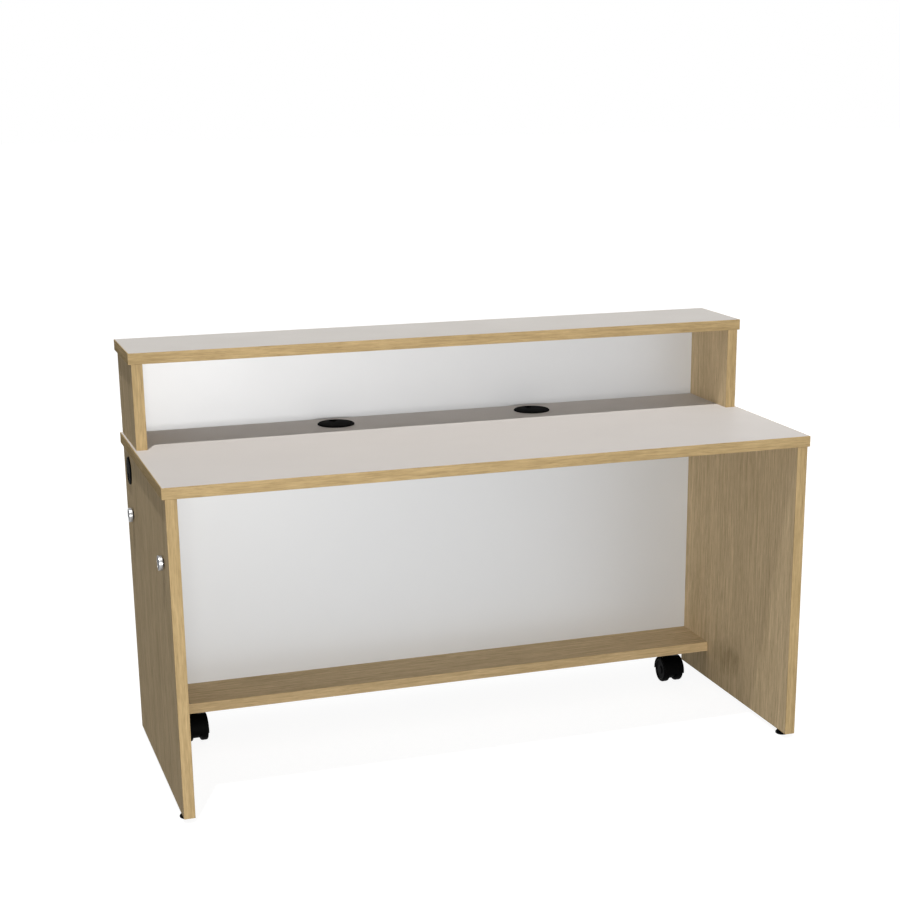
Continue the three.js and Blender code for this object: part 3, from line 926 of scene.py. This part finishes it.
@dataclass
class Grommet:
    """A cable grommet: a lipped liner and a turning cap with a cord slot. Sizes in millimetres."""

    finishes: Finishes
    name: str
    axis: Axis
    slot_way: Triple
    wall: float = 2.0
    end_round: float = 0.4
    lip: float = 5.3
    lip_gap: float = 0.3
    lip_foot_round: float = 0.2
    lip_edge: float = 1.6
    lip_edge_round: float = 0.5
    crown_inset: float = 2.2
    crown_round: float = 1.6
    mouth_round: float = 0.5
    rise: float = 3.6
    ledge: float = 2.0
    ledge_gap: float = 0.3
    ledge_round: float = 0.2
    cap_thickness: float = 2.4
    cap_gap: float = 0.5
    slot_width: float = 16.0
    slot_reach: float = 20.0
    ease: float = 0.8
    rim_points: int = 97
    bend_points: int = 33
    ease_points: int = 5

    def build(self) -> None:
        """Makes the liner and the cap over their frame nodes."""
        low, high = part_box(f"{self.name}_liner")
        along = Vector(self.axis.value[2])
        size = high - low
        length = abs(size.dot(along)) / MM
        lip_radius = max(size) / 2 / MM
        seat = (low + high) / 2 + along * (length / 2 - self.rise) * MM
        tube = lip_radius - self.lip
        bore = tube - self.wall
        profile = self.liner_profile(bore, tube, lip_radius, length - self.rise)
        liner = turned_piece(f"{self.name}_ring", profile, seat, self.axis, self.finishes.grommet, True)
        settle(liner, "desk", "black_grommet", f"{self.name}_liner")
        cap = self.cap_piece(bore - self.cap_gap, seat)
        settle(cap, f"{self.name}_cap", "black_grommet", f"{self.name}_cap")

    def liner_profile(self, bore: float, tube: float, lip_radius: float, depth: float) -> np.ndarray:
        """Draws the liner's section: up the tube, round the lip and its crown, and down over the cap's ledge.

        Args:
            bore: inner radius of the tube.
            tube: outer radius of the tube.
            lip_radius: outer radius of the lip.
            depth: length of the tube below the board's face.

        Returns:
            (radius, height) of each point of the ring, from the board's face.
        """
        ledge_top = self.rise - self.cap_thickness - self.ledge_gap
        return rounded_outline([
            (bore, -depth, self.end_round), (tube, -depth, self.end_round),
            (tube, self.lip_gap, 0), (lip_radius, self.lip_gap, self.lip_foot_round),
            (lip_radius, self.lip_edge, self.lip_edge_round),
            (lip_radius - self.crown_inset, self.rise, self.crown_round), (bore, self.rise, self.mouth_round),
            (bore, ledge_top, 0), (bore - self.ledge, ledge_top, self.ledge_round),
            (bore, ledge_top - self.ledge, 0),
        ], True)

    def cap_piece(self, radius: float, seat: Vector) -> bpy.types.Object:
        """Makes the cap: its slotted outline carried over eased edges, closed by a face above and below.

        The outline is a circle that is broken by a slot with a round end. Over each eased edge it is carried
        round a quarter turn, set in and raised by the ease times the turn's sine and cosine, or 1 less these.

        Args:
            radius: radius of the cap.
            seat: point of the axis on the board's face.

        Returns:
            The new object.
        """
        half = self.slot_width / 2
        start = math.asin(half / radius)
        rim = np.linspace(start, 2 * math.pi - start, self.rim_points)
        end = radius - self.slot_reach + half
        bend = np.linspace(-math.pi / 2, -1.5 * math.pi, self.bend_points)
        outline = np.concatenate([
            radius * np.stack([np.cos(rim), np.sin(rim)], axis=1),
            np.stack([end + half * np.cos(bend), half * np.sin(bend)], axis=1),
        ])
        ahead = np.roll(outline, -1, axis=0) - np.roll(outline, 1, axis=0)
        inward = np.stack([-ahead[:, 1], ahead[:, 0]], axis=1) / np.linalg.norm(ahead, axis=1, keepdims=True)
        turn = np.linspace(0, math.pi / 2, self.ease_points)
        inset = self.ease * np.concatenate([1 - np.sin(turn), 1 - np.cos(turn)])
        rise = self.ease * np.concatenate([1 - np.cos(turn), np.sin(turn)])
        rise[self.ease_points:] += self.cap_thickness - self.ease
        flat = outline[None] + inset[:, None, None] * inward[None]
        height = np.broadcast_to((self.rise - self.cap_thickness + rise)[:, None, None], (*flat.shape[:2], 1))
        local = np.concatenate([flat, height], axis=2).reshape(-1, 3) * MM
        along = np.array(self.axis.value[2], float)
        slot = np.array(self.slot_way, float)
        turned = np.stack([slot, np.cross(along, slot), along])
        faces = tube_faces(*flat.shape[:2], True)
        return mesh_piece(f"{self.name}_lid", local @ turned + np.array(seat), faces, self.finishes.grommet)


@dataclass(frozen=True)
class PanHead:
    """A screw's pan head with a round recess. Sizes in millimetres."""

    radius: float
    side: float
    shoulder_round: float
    crown: float
    height: float
    recess: float
    recess_floor: float = 0.9
    foot_round: float = 0.2
    crown_round: float = 0.3

    def profile(self) -> np.ndarray:
        """Draws the head from axis to axis: up its side, over the shoulder to the crown, and into the recess.

        Returns:
            (radius, height) of each point.
        """
        return rounded_outline([
            (0, 0, 0), (self.radius, 0, self.foot_round), (self.radius, self.side, self.shoulder_round),
            (self.crown, self.height, self.crown_round), (self.recess, self.recess_floor, 0),
            (0, self.recess_floor, 0),
        ], False)


@dataclass
class CordKnob:
    """A bright knob that a cord is wound on, with the screw that holds it. Sizes in millimetres."""

    finishes: Finishes
    node: str
    neck: float = 8.0
    neck_length: float = 2.8
    neck_round: float = 0.5
    neck_overlap: float = 0.4
    flare: float = 9.5
    flare_height: float = 1.2
    flare_round: float = 0.3
    rim_round: float = 1.5
    rim_width: float = 0.7
    end_round: float = 0.45
    taper: float = 0.6
    recess: float = 0.7
    well_round: float = 0.2
    well_root: float = 0.1
    disc_gap: float = 0.15
    disc_sunk: float = 0.2
    disc_edge: float = 0.35
    disc_round: float = 0.2
    dome: float = 4.0
    dome_round: float = 3.0
    dome_top: float = 0.1
    screw: PanHead = PanHead(radius=4.6, side=1.2, shoulder_round=1.0, crown=2.3, height=2.6, recess=1.8)
    screw_sides: int = 48

    def build(self) -> None:
        """Makes the turned knob; its foot and the disc in its end, in a dark finish that paints shade under
        the head and a dark reflection on the end; and its screw head inside the end panel.
        """
        low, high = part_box(self.node)
        middle = (low + high) / 2
        head = (high.y - low.y) / 2 / MM
        length = (high.x - low.x) / MM
        seat = Vector((high.x, middle.y, middle.z))
        end = head - self.taper
        well = end - self.rim_width
        profile = self.head_profile(head, end, well, length)
        knob = turned_piece(f"{self.node}_turned", profile, seat, Axis.LEFT, self.finishes.chrome)
        settle(knob, "desk", "chrome", self.node)
        # The foot's dark finish paints the shade under the knob's head.
        profile = self.foot_profile()
        foot = turned_piece(f"{self.node}_foot", profile, seat, Axis.LEFT, self.finishes.painted_shade_and_reflection)
        settle(foot, "desk", "zinc_steel")
        # The end disc's dark finish paints a dark reflection on the knob's end.
        profile = self.disc_profile(well - self.disc_gap, length)
        disc = turned_piece(f"{self.node}_end_disc", profile, seat, Axis.LEFT, self.finishes.painted_shade_and_reflection)
        settle(disc, "desk", "zinc_steel")
        place = Vector((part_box("left_end_panel")[1].x, middle.y, middle.z))
        screw = turned_piece(f"{self.node}_screw", self.screw.profile(), place, Axis.RIGHT,
                             self.finishes.zinc, sides=self.screw_sides)
        settle(screw, "desk", "zinc_steel")

    def head_profile(self, head: float, end: float, well: float, length: float) -> np.ndarray:
        """Draws the head from axis to axis: its under side, its tapered rim and the well in its end.

        Args:
            head: radius of the head.
            end: radius of its outer end.
            well: radius of the well.
            length: length of the whole knob.

        Returns:
            (radius, height) of each point, from the panel's face.
        """
        under, floor = self.neck_length, length - self.recess
        return rounded_outline([
            (0, under, 0), (head, under, self.rim_round), (end, length, self.end_round),
            (well, length, self.well_round), (well, floor, self.well_root), (0, floor, 0),
        ], False)

    def foot_profile(self) -> np.ndarray:
        """Draws the foot from axis to axis: a flare on the panel and a neck that goes a little into the head.

        Returns:
            (radius, height) of each point, from the panel's face.
        """
        top = self.neck_length + self.neck_overlap
        return rounded_outline([
            (0, 0, 0), (self.flare, 0, self.flare_round), (self.neck, self.flare_height, self.neck_round),
            (self.neck, top, 0), (0, top, 0),
        ], False)

    def disc_profile(self, edge: float, length: float) -> np.ndarray:
        """Draws the end disc from axis to axis: its back, sunk in the well's floor, its edge and its dome.

        Args:
            edge: radius of the disc.
            length: length of the whole knob.

        Returns:
            (radius, height) of each point, from the panel's face.
        """
        back, top = length - self.recess - self.disc_sunk, length - self.dome_top
        return rounded_outline([
            (0, back, 0), (edge, back, 0), (edge, length - self.disc_edge, self.disc_round),
            (edge - self.dome, top, self.dome_round), (0, top, 0),
        ], False)


@dataclass(frozen=True)
class WheelSection:
    """The section of a caster wheel. Radii, or depths below the tread, and widths in millimetres."""

    bore: float = 4.2
    bore_round: float = 0.3
    hub: float = 8.5
    hub_start: float = 0.5
    hub_round: float = 0.5
    hub_root: float = 0.8
    face: float = 6.0
    wall: float = 5.4
    wall_start: float = 1.0
    wall_round: float = 0.4
    wall_root: float = 1.2
    edge: float = 4.9
    edge_round: float = 0.2
    inner_crown: float = 4.5
    outer_crown: float = 5.0
    groove_half: float = 0.6
    groove_depth: float = 0.5
    rim: float = 7.0
    rim_round: float = 0.6
    ring: float = 8.6
    ring_depth: float = 2.0
    ring_round: float = 0.8
    cap: float = 10.5
    cap_foot: float = 12.0

    def profile(self, radius: float, width: float) -> np.ndarray:
        """Draws the wheel from axis to axis: bore, hub, hollow side, grooved tread, stepped face and cap.

        Args:
            radius: radius of the tread.
            width: width of the wheel.

        Returns:
            (radius, height) of each point, from the wheel's inner side.
        """
        back, wall = width - self.face, radius - self.wall
        sunk, middle = width - self.ring_depth, width / 2
        return rounded_outline([
            (0, back, 0), (self.bore, back, 0), (self.bore, self.hub_start, self.bore_round),
            (self.hub, self.hub_start, self.hub_round), (self.hub, back, self.hub_root),
            (wall, back, self.wall_root), (wall, self.wall_start, self.wall_round),
            (radius - self.edge, 0, self.edge_round), (radius, 0, self.inner_crown),
            (radius, middle - self.groove_half, 0), (radius - self.groove_depth, middle, 0),
            (radius, middle + self.groove_half, 0), (radius, width, self.outer_crown),
            (radius - self.rim, width, self.rim_round), (radius - self.ring, sunk, self.ring_round),
            (self.cap_foot, sunk, self.ring_round), (self.cap, width, self.ring_round), (0, width, 0),
        ], False)


@dataclass
class Caster:
    """A twin-wheel caster: plate, screws, hood, axle and wheels. Sizes in millimetres."""

    finishes: Finishes
    side: str
    wheel_section: WheelSection = WheelSection()
    hood_wall: float = 2.5
    hood_round: float = 2.0
    mouth_round: float = 0.4
    arch_points: int = 65
    skirt: float = 4.0
    web_half: float = 9.0
    web_margin: float = 7.0
    web_round: float = 0.8
    rib_points: int = 49
    collar: float = 15.0
    collar_round: float = 1.2
    collar_side: float = 8.0
    collar_rings: int = 9
    pin: float = 4.3
    pin_depth: float = 3.0
    pin_round: float = 0.3
    plate_thickness: float = 2.5
    screw: PanHead = PanHead(radius=4.4, side=1.0, shoulder_round=0.9, crown=2.0, height=2.4, recess=1.6)
    screw_inset: float = 7.0
    screw_sides: int = 32

    def build(self) -> None:
        """Dresses the plate and the axle, and makes the wheels, the hood and the screws."""
        name = f"{self.side}_caster"
        dress_node(f"{name}_plate", self.finishes.black_steel)
        dress_node(f"{name}_axle", self.finishes.zinc)
        self.wheel(f"{name}_left_wheel", Axis.LEFT)
        self.wheel(f"{name}_right_wheel", Axis.RIGHT)
        self.hood(name)
        self.screws(name)

    def wheel(self, node: str, axis: Axis) -> None:
        """Turns one wheel from its section.

        Args:
            node: the wheel's frame node.
            axis: the way that its face looks.
        """
        low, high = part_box(node)
        inner = high.x if axis is Axis.LEFT else low.x
        centre = Vector((inner, (low.y + high.y) / 2, (low.z + high.z) / 2))
        profile = self.wheel_section.profile((high.z - low.z) / 2 / MM, (high.x - low.x) / MM)
        wheel = turned_piece(f"{node}_turned", profile, centre, axis, self.finishes.nylon)
        settle(wheel, node, "black_nylon", node)

    def hood(self, name: str) -> None:
        """Makes the hood: an arch over the wheels, a web on the axle and a collar round the king pin.

        Args:
            name: name of the caster.
        """
        low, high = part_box(f"{name}_hood")
        wheel_low, wheel_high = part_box(f"{name}_left_wheel")
        axle = (wheel_low + wheel_high) / 2
        centre = Vector(((low.x + high.x) / 2, axle.y, axle.z))
        outer = (axle.y - low.y) / MM
        self.arch(name, centre, outer, (high.x - low.x) / 2 / MM)
        self.web(name, centre, (wheel_high.z - wheel_low.z) / 2 / MM)
        self.rib(name, centre, outer)
        self.collar_piece(name, centre, outer)

    def arch(self, name: str, centre: Vector, outer: float, half: float) -> None:
        """Makes the arch: a flat section carried over a half turn about the axle, with a skirt below.

        Args:
            name: name of the caster.
            centre: middle of the axle.
            outer: outer radius of the arch.
            half: half the arch's width.
        """
        inner = outer - self.hood_wall
        section = rounded_outline([
            (-half, inner, self.mouth_round), (-half, outer, self.hood_round),
            (half, outer, self.hood_round), (half, inner, self.mouth_round),
        ], True)
        angle = np.concatenate([[0], np.linspace(0, math.pi, self.arch_points), [math.pi]])
        drop = np.zeros(len(angle))
        drop[[0, -1]] = -self.skirt
        x = np.broadcast_to(section[None, :, 0], (len(angle), len(section)))
        y = np.cos(angle)[:, None] * section[None, :, 1]
        z = np.sin(angle)[:, None] * section[None, :, 1] + drop[:, None]
        points = np.stack([x, y, z], axis=-1).reshape(-1, 3) * MM + np.array(centre)
        faces = tube_faces(len(angle), len(section), True)
        arch = mesh_piece(f"{name}_arch", points, faces, self.finishes.nylon)
        settle(arch, name, "black_nylon", f"{name}_hood")

    def web(self, name: str, centre: Vector, wheel_radius: float) -> None:
        """Makes the web, a thick disc round the axle between the wheels.

        Args:
            name: name of the caster.
            centre: middle of the axle.
            wheel_radius: radius of the wheels.
        """
        half, rim = self.web_half, wheel_radius - self.web_margin
        profile = rounded_outline(
            [(0, -half, 0), (rim, -half, self.web_round), (rim, half, self.web_round), (0, half, 0)], False)
        web = turned_piece(f"{name}_web", profile, centre, Axis.RIGHT, self.finishes.nylon)
        settle(web, name, "black_nylon")

    def rib(self, name: str, centre: Vector, outer: float) -> None:
        """Makes the upper half of the web, a thick half disc that joins the arch to the axle.

        Args:
            name: name of the caster.
            centre: middle of the axle.
            outer: outer radius of the arch.
        """
        reach = outer - self.hood_wall / 2
        angle = np.linspace(0, math.pi, self.rib_points)
        across = np.array([[-self.web_half], [self.web_half]])
        rim = np.broadcast_arrays(across, reach * np.cos(angle), reach * np.sin(angle))
        points = np.stack(rim, axis=-1).reshape(-1, 3) * MM + np.array(centre)
        faces = tube_faces(len(across), len(angle), True)
        rib = mesh_piece(f"{name}_rib", points, faces, self.finishes.nylon)
        settle(rib, name, "black_nylon")

    def collar_piece(self, name: str, axle: Vector, outer: float) -> None:
        """Makes the collar round the king pin, which stands on the arch and ends just below the plate.

        Its wall goes down to the arch's mid-surface: at each point, the height above the axle is the square
        root of the mid-surface radius squared less the distance from the axle squared, and never less than
        the skirt.

        Args:
            name: name of the caster.
            axle: middle of the axle.
            outer: outer radius of the arch.
        """
        plate_low, plate_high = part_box(f"{name}_plate")
        hood_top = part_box(f"{name}_hood")[1].z
        trail = ((plate_low.y + plate_high.y) / 2 - axle.y) / MM
        top = (hood_top - axle.z) / MM
        seat = top - self.pin_depth
        head = rounded_outline([
            (0, seat, 0), (self.pin, seat, 0), (self.pin, top, self.pin_round),
            (self.collar, top, self.collar_round), (self.collar, top - self.collar_side, 0),
        ], False)
        angle = np.linspace(0, 2 * math.pi, ROUND_SIDES, endpoint=False)
        foot = np.linspace(self.collar, 0, self.collar_rings)
        radius = np.concatenate([head[:, 0], foot])[:, None]
        x = radius * np.cos(angle)
        y = trail + radius * np.sin(angle)
        mid_wall = outer - self.hood_wall / 2
        lowest = np.sqrt(np.maximum(mid_wall**2 - y[len(head):] ** 2, self.skirt**2))
        z = np.concatenate([np.broadcast_to(head[:, 1:], (len(head), len(angle))), lowest])
        points = np.stack([x, y, z], axis=-1).reshape(-1, 3) * MM + np.array(axle)
        faces = tube_faces(len(radius), len(angle), False)
        settle(mesh_piece(f"{name}_collar", points, faces, self.finishes.nylon), name, "black_nylon")

    def screws(self, name: str) -> None:
        """Sets a pan-head screw under each corner of the plate, all in one piece.

        Args:
            name: name of the caster.
        """
        low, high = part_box(f"{name}_plate")
        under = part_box("bottom_shelf")[0].z - self.plate_thickness * MM
        profile = self.screw.profile() * MM
        inset = self.screw_inset * MM
        places = [(x, y) for x in (low.x + inset, high.x - inset) for y in (low.y + inset, high.y - inset)]
        sides = self.screw_sides
        heads = [turned_points(profile, Vector((*place, under)), Axis.DOWN, sides) for place in places]
        faces = grid_faces(len(profile), sides, False, True)
        step = len(heads[0])
        all_faces = np.concatenate([faces + step * index for index in range(len(heads))]).tolist()
        piece = mesh_piece(f"{name}_screws", np.concatenate(heads), all_faces, self.finishes.zinc)
        settle(piece, "desk", "zinc_steel")


@dataclass
class Glide:
    """A levelling glide: a round foot with a waisted top on its screw stem. Sizes in millimetres."""

    finishes: Finishes
    side: str
    sole_inset: float = 2.0
    sole_round: float = 0.8
    side_low: float = 1.5
    side_low_round: float = 1.2
    side_high: float = 4.2
    side_high_round: float = 1.0
    foot_height: float = 8.0
    waist_inset: float = 3.4
    waist_round: float = 1.0
    stem: float = 4.0
    stem_root: float = 0.3
    stem_end: float = 0.6

    def build(self) -> None:
        """Turns the foot and its stem."""
        node = f"{self.side}_glide"
        low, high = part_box(node)
        foot = (high.x - low.x) / 2 / MM
        length = (high.z - low.z) / MM
        centre = Vector(((low.x + high.x) / 2, (low.y + high.y) / 2, low.z))
        profile = rounded_outline([
            (0, 0, 0), (foot - self.sole_inset, 0, self.sole_round),
            (foot, self.side_low, self.side_low_round), (foot, self.side_high, self.side_high_round),
            (foot - self.waist_inset, self.foot_height, self.waist_round),
            (self.stem, self.foot_height, self.stem_root), (self.stem, length, self.stem_end), (0, length, 0),
        ], False)
        foot_piece = turned_piece(f"{node}_turned", profile, centre, Axis.UP, self.finishes.nylon)
        settle(foot_piece, node, "black_nylon", node)


@dataclass(frozen=True)
class Softbox:
    """A rectangular lamp that the camera doesn't see. Sizes in metres, power in watts."""

    name: str
    place: Triple
    target: Triple
    size: tuple[float, float]
    power: float


@dataclass
class Studio:
    """A white floor, a sun over the camera's shoulder, a softbox in front and behind, and a soft sky."""

    sun_place: Triple = (0.0, 0.0, 4.0)
    sun_way: Triple = (0.117, 0.264, -1.0)
    sun_strength: float = 2.0
    sun_width: float = math.radians(1.2)
    front: Softbox = Softbox("front_softbox", (-0.75, -4.0, 0.8), (-0.25, 0.0, 0.8), (1.6, 0.3), 86.0)
    rear: Softbox = Softbox("rear_softbox", (1.2, 4.2, 0.8), (0.2, 0.3, 0.6), (4.0, 1.5), 75.0)
    sky_strength: float = 0.32
    sky_dimmed: float = 0.06
    dim_way: Triple = (-0.8, 0.6, 0.0)
    dim_start: float = -0.2
    floor_size: float = 60.0
    floor_glow: float = 0.9
    floor_tone: float = 0.2
    floor_bounce: float = 0.3

    def build(self) -> None:
        """Makes the floor, the sky and the lamps."""
        self.floor()
        self.sky()
        sun = bpy.data.lights.new("sun", "SUN")
        sun.energy = self.sun_strength
        sun.angle = self.sun_width
        self.aim(sun, Vector(self.sun_place), Vector(self.sun_way))
        self.softbox(self.front)
        self.softbox(self.rear)

    def softbox(self, box: Softbox) -> None:
        """Makes a softbox and points it at its target.

        Args:
            box: the softbox.
        """
        light = bpy.data.lights.new(box.name, "AREA")
        light.shape = "RECTANGLE"
        light.size, light.size_y = box.size
        light.energy = box.power
        lamp = self.aim(light, Vector(box.place), Vector(box.target) - Vector(box.place))
        lamp.visible_camera = False

    def aim(self, light: bpy.types.Light, place: Vector, way: Vector) -> bpy.types.Object:
        """Places a lamp and points it along a direction.

        Args:
            light: the lamp's light.
            place: where it stands.
            way: the direction that it shines in.

        Returns:
            The lamp.
        """
        lamp = bpy.data.objects.new(light.name, light)
        lamp.location = place
        lamp.rotation_mode = "QUATERNION"
        lamp.rotation_quaternion = way.to_track_quat("-Z", "Y")
        bpy.context.scene.collection.objects.link(lamp)
        return lamp

    def floor(self) -> None:
        """Makes a floor that looks white to the camera and in gloss, and keeps a faint shadow."""
        half = self.floor_size / 2
        corners = np.array([(-half, -half, 0), (half, -half, 0), (half, half, 0), (-half, half, 0)])
        material = bpy.data.materials.new("white_floor")
        nodes = empty_tree(material)
        seen = nodes.seen_white()
        glow = nodes.add("ShaderNodeEmission", {"Color": PURE_WHITE, "Strength": self.floor_glow})
        tone = nodes.add("ShaderNodeBsdfDiffuse", {"Color": (*[self.floor_tone] * 3, 1)})
        shown = nodes.add("ShaderNodeAddShader", {0: glow.outputs[0], 1: tone.outputs[0]})
        bounce = nodes.add("ShaderNodeBsdfDiffuse", {"Color": (*[self.floor_bounce] * 3, 1)})
        mixed = nodes.add("ShaderNodeMixShader", {0: seen, 1: bounce.outputs[0], 2: shown.outputs[0]})
        nodes.add("ShaderNodeOutputMaterial", {"Surface": mixed.outputs[0]})
        mesh_piece("studio_floor", corners, [[0, 1, 2, 3]], material)

    def sky(self) -> None:
        """Lights the scene softly, less from the rear left, and shows white to the camera and in gloss."""
        world = bpy.data.worlds.new("sky")
        bpy.context.scene.world = world
        nodes = empty_tree(world)
        seen = nodes.seen_white()
        way = nodes.add("ShaderNodeTexCoord").outputs["Generated"]
        turned = nodes.add("ShaderNodeVectorMath", {0: way, 1: self.dim_way}, operation="DOT_PRODUCT")
        rearward = turned.outputs["Value"]
        dimmed = nodes.spread(rearward, self.dim_start, 1.0, self.sky_strength, self.sky_dimmed)
        strength = nodes.add("ShaderNodeMix", {"Factor": seen, "A": dimmed, "B": 1.0}).outputs[0]
        light = nodes.add("ShaderNodeBackground", {"Color": PURE_WHITE, "Strength": strength})
        nodes.add("ShaderNodeOutputWorld", {"Surface": light.outputs[0]})


@dataclass
class PhotoCamera:
    """A camera at the photograph's viewpoint. Angles in degrees, picture points in pixels of its frame."""

    place: Triple = (-1.29497, -3.96426, 1.63763)
    turned_right: float = 19.94
    tilted_down: float = 17.01
    rolled_right: float = 0.06
    focal_pixels: float = 1787.7
    centre_pixel: tuple[float, float] = (520.1, 595.05)
    frame_pixels: float = 900.0
    sensor: float = 36.0
    far: float = 200.0

    def build(self) -> None:
        """Makes the camera, shifted so that its axis meets the picture where the photograph's did."""
        data = bpy.data.cameras.new("photo_camera")
        data.sensor_width = self.sensor
        data.lens = self.focal_pixels * self.sensor / self.frame_pixels
        data.shift_x = 0.5 - self.centre_pixel[0] / self.frame_pixels
        data.shift_y = self.centre_pixel[1] / self.frame_pixels - 0.5
        data.clip_end = self.far
        camera = bpy.data.objects.new("photo_camera", data)
        upright = Matrix.Rotation(math.radians(-self.turned_right), 4, "Z")
        tilt = Matrix.Rotation(math.radians(90 - self.tilted_down), 4, "X")
        roll = Matrix.Rotation(math.radians(-self.rolled_right), 4, "Z")
        camera.matrix_world = Matrix.Translation(self.place) @ upright @ tilt @ roll
        bpy.context.scene.collection.objects.link(camera)
        bpy.context.scene.camera = camera


def main() -> None:
    """Builds the camera, the desk's pieces and the studio in order."""
    logging.basicConfig(level=logging.INFO, format="%(message)s")
    bpy.context.scene.view_settings.view_transform = "Standard"
    PhotoCamera().build()
    finishes = Finishes()
    Boards(finishes).dress()
    EdgeBands(finishes).build()
    Grommet(finishes, "left_grommet", Axis.UP, (0, 1, 0)).build()
    Grommet(finishes, "right_grommet", Axis.UP, (0, 1, 0)).build()
    Grommet(finishes, "side_grommet", Axis.LEFT, (0, 0, -1)).build()
    for node in ("front_cord_knob", "rear_cord_knob"):
        CordKnob(finishes, node).build()
    for side in SIDES:
        Caster(finishes, side).build()
        Glide(finishes, side).build()
    Studio().build()


if __name__ == "__main__":
    main()
